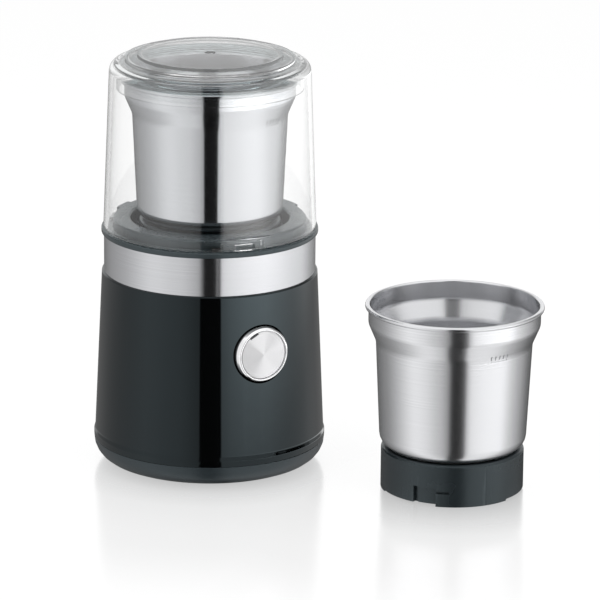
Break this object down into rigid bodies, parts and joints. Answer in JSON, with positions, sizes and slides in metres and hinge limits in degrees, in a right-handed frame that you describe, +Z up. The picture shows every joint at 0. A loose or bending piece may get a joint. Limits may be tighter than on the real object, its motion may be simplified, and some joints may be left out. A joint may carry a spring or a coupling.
{
  "type": "electric spice grinder",
  "caption": "Countertop electric grinder with a push button, a clear twist-lock lid, a steel grinding cup in a motor base and a spare cup beside it.",
  "frame": {"origin": "centre of the anti-slip ring under the motor base, on the floor", "axes": "+Z up along the motor axis; the push button faces -Y; the spare cup stands at +X, -Y"},
  "size_m": [0.2104, 0.2252, 0.235],
  "materials": {
    "rubber": "matt",
    "seal_rubber": "matt translucent",
    "dark_plastic": "satin",
    "grey_plastic": "satin",
    "switch_plastic": "satin",
    "fan_plastic": "satin",
    "coupling_plastic": "satin",
    "bracket_plastic": "satin",
    "black_gloss": "gloss",
    "lens_plastic": "gloss",
    "clear_plastic": "clear gloss",
    "board": "satin",
    "carbon": "matt",
    "brushed_steel": "turned, fine brushing round the axis",
    "screw_steel": "zinc plated",
    "spring_steel": "bright",
    "bearing_steel": "ground",
    "blade_steel": "satin",
    "lamination": "stacked laminations",
    "polished_metal": "polished",
    "spun_metal": "spun",
    "copper": "enamelled wire",
    "commutator_copper": "turned",
    "bearing_bronze": "sintered"
  },
  "bodies": {
    "base": {"foot_ring": "rubber", "base_pan": "dark_plastic", "pan_screws": "screw_steel", "body_shell": "black_gloss", "steel_band": "brushed_steel", "top_housing": "dark_plastic", "shaft_seal": "rubber", "interlock_switch": "switch_plastic", "button_guide": "dark_plastic", "button_spring": "spring_steel", "start_switch": "switch_plastic", "control_board": "board", "stator_core": "lamination", "field_coils": "copper", "lower_bearing": "bearing_bronze", "upper_bearing": "bearing_steel", "lower_bracket": "bracket_plastic", "upper_bracket": "bracket_plastic", "tie_screws": "screw_steel", "motor_grommets": "rubber", "motor_screws": "screw_steel", "brush_holders": "commutator_copper", "carbon_brushes": "carbon", "cord_grommet": "rubber"},
    "rotor": {"motor_shaft": "screw_steel", "armature_core": "lamination", "armature_winding": "copper", "commutator": "commutator_copper", "cooling_fan": "fan_plastic", "drive_coupling": "coupling_plastic"},
    "button": {"button_rim": "polished_metal", "button_face": "spun_metal", "button_lens": "lens_plastic", "button_body": "dark_plastic", "start_plunger": "grey_plastic"},
    "interlock": {"interlock_pin": "grey_plastic"},
    "lid_ring": {"lid_seal": "seal_rubber"},
    "lid": {"lid_dome": "clear_plastic"},
    "cup": {"cup_bowl": "brushed_steel", "cup_base": "dark_plastic", "cup_gasket": "seal_rubber", "cup_bush": "polished_metal", "cup_nut": "polished_metal"},
    "blade": {"two_wing_blade": "blade_steel", "blade_nut": "polished_metal", "blade_spindle": "polished_metal", "drive_dog": "coupling_plastic"},
    "spare_cup": {"spare_cup_bowl": "brushed_steel", "spare_cup_base": "dark_plastic", "spare_cup_gasket": "seal_rubber", "spare_cup_bush": "polished_metal", "spare_cup_nut": "polished_metal"},
    "spare_blade": {"four_wing_blade": "blade_steel", "spare_blade_nut": "polished_metal", "spare_blade_spindle": "polished_metal", "spare_drive_dog": "coupling_plastic"}
  },
  "joints": [
    {"name": "motor_spin", "type": "hinge", "parent": "base", "child": "rotor", "pos_m": [0, 0, 0.1], "axis": [0, 0, 1], "continuous": true},
    {"name": "button_press", "type": "slide", "parent": "base", "child": "button", "axis": [0, 1, 0], "range_m": [0, 0.002], "stiffness_N_per_m": 600, "springref_m": -0.002, "deforming": ["button_spring"]},
    {"name": "lid_lift", "type": "slide", "parent": "base", "child": "lid_ring", "axis": [0, 0, 1], "range_m": [0, 0.15]},
    {"name": "lid_twist", "type": "hinge", "parent": "lid_ring", "child": "lid", "pos_m": [0, 0, 0.14], "axis": [0, 0, 1], "range_deg": [-16, 0]},
    {"name": "interlock_press", "type": "slide", "parent": "base", "child": "interlock", "axis": [0, 0, -1], "range_m": [0, 0.0016]},
    {"name": "cup_lift", "type": "slide", "parent": "base", "child": "cup", "axis": [0, 0, 1], "range_m": [0, 0.06]},
    {"name": "blade_spin", "type": "hinge", "parent": "cup", "child": "blade", "pos_m": [0, 0, 0.14], "axis": [0, 0, 1], "continuous": true},
    {"name": "spare_cup_lift", "type": "slide", "parent": "base", "child": "spare_cup", "axis": [0, 0, 1], "range_m": [0, 0.1]},
    {"name": "spare_blade_spin", "type": "hinge", "parent": "spare_cup", "child": "spare_blade", "pos_m": [0.0955, -0.1092, 0.02], "axis": [0, 0, 1], "continuous": true}
  ],
  "couplings": [
    {"joint": "blade_spin", "follows": "motor_spin", "ratio": 1},
    {"joint": "cup_lift", "follows": "lid_lift", "ratio": 0.4},
    {"joint": "interlock_press", "follows": "lid_twist", "m_per_rad": -0.00537}
  ]
}
